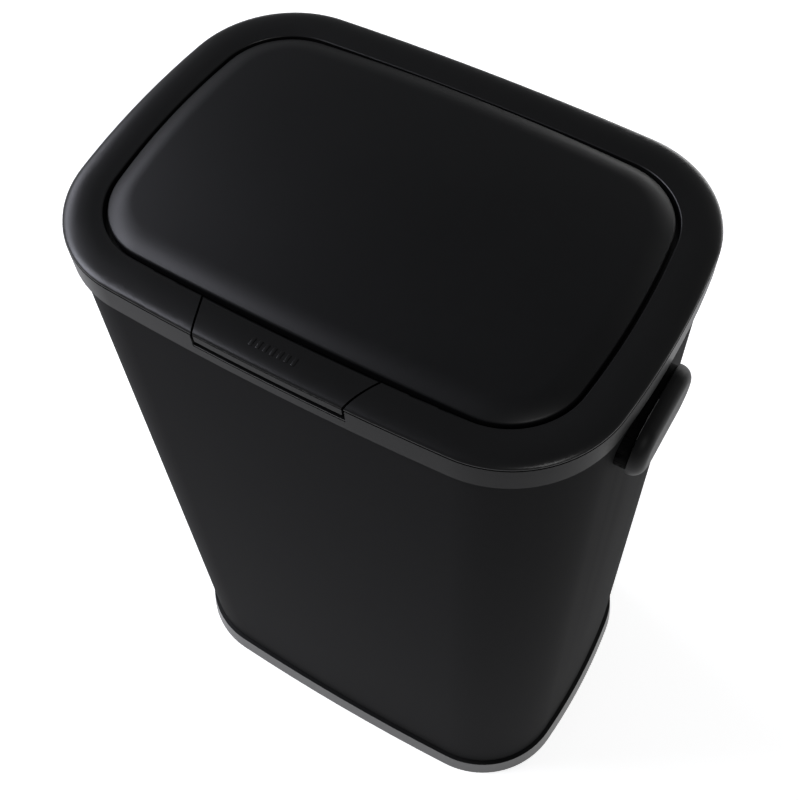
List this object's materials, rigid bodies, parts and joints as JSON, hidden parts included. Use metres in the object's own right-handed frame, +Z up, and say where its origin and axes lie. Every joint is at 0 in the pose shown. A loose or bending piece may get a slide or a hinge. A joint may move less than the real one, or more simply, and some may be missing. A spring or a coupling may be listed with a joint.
{
  "type": "push-lid waste bin",
  "caption": "Tall rounded-rectangular waste bin with a sprung lid in a lift-off frame, released by a push button, with two side grips",
  "frame": {"origin": "middle of the footprint, on the surface that the feet stand on", "axes": "+Z up, -Y towards the push button, +Y towards the lid's hinge, X along the long side"},
  "size_m": [0.4352, 0.2942, 0.6485],
  "materials": {
    "body_paint": "satin black coated sheet steel",
    "black_plastic": "fine satin black moulding",
    "inner_plastic": "plain black moulding, hidden side",
    "rubber": "matt black rubber",
    "steel": "plated steel"
  },
  "bodies": {
    "can": {"base_plinth": "black_plastic", "base_screws": "steel", "body_shell": "body_paint", "collar_band": "black_plastic", "collar_screws": "steel", "foot_back_left": "rubber", "foot_back_right": "rubber", "foot_front_left": "rubber", "foot_front_right": "rubber", "handle_grip_left": "black_plastic", "handle_grip_right": "black_plastic", "handle_plate_left": "black_plastic", "handle_plate_right": "black_plastic", "handle_screws": "steel"},
    "frame": {"lid_frame": "black_plastic", "lid_bumpers": "rubber", "hinge_bracket_left": "inner_plastic", "hinge_bracket_right": "inner_plastic", "hinge_bracket_screws": "steel", "hinge_pin_left": "steel", "hinge_pin_right": "steel", "hinge_spring_left": "steel", "hinge_spring_right": "steel", "button_pivot_pin_left": "steel", "button_pivot_pin_right": "steel", "latch_bracket": "inner_plastic", "latch_bracket_screws": "steel", "latch_pin": "steel", "latch_spring": "steel"},
    "lid": {"lid_panel": "black_plastic", "lid_liner": "inner_plastic", "lid_screws": "steel", "lid_keeper": "inner_plastic", "keeper_screws": "steel", "hinge_arm_left": "inner_plastic", "hinge_arm_right": "inner_plastic", "hinge_arm_screws": "steel"},
    "button": {"push_button": "black_plastic"},
    "latch": {"latch_lever": "inner_plastic"}
  },
  "joints": [
    {"name": "frame_lift", "type": "slide", "parent": "can", "child": "frame", "axis": [0, 0, 1], "range_m": [0, 0.04]},
    {"name": "lid_hinge", "type": "hinge", "parent": "frame", "child": "lid", "pos_m": [0, 0.127, 0.632], "axis": [-1, 0, 0], "range_deg": [0, 85]},
    {"name": "button_press", "type": "hinge", "parent": "frame", "child": "button", "pos_m": [0, -0.122, 0.6315], "axis": [1, 0, 0], "range_deg": [0, 8], "stiffness_Nm_per_rad": 0.4, "springref_deg": -5.73},
    {"name": "latch_turn", "type": "hinge", "parent": "frame", "child": "latch", "pos_m": [0, -0.124, 0.6115], "axis": [1, 0, 0], "range_deg": [0, 10.4]}
  ],
  "couplings": [
    {"joint": "latch_turn", "follows": "button_press", "ratio": 1.286}
  ]
}
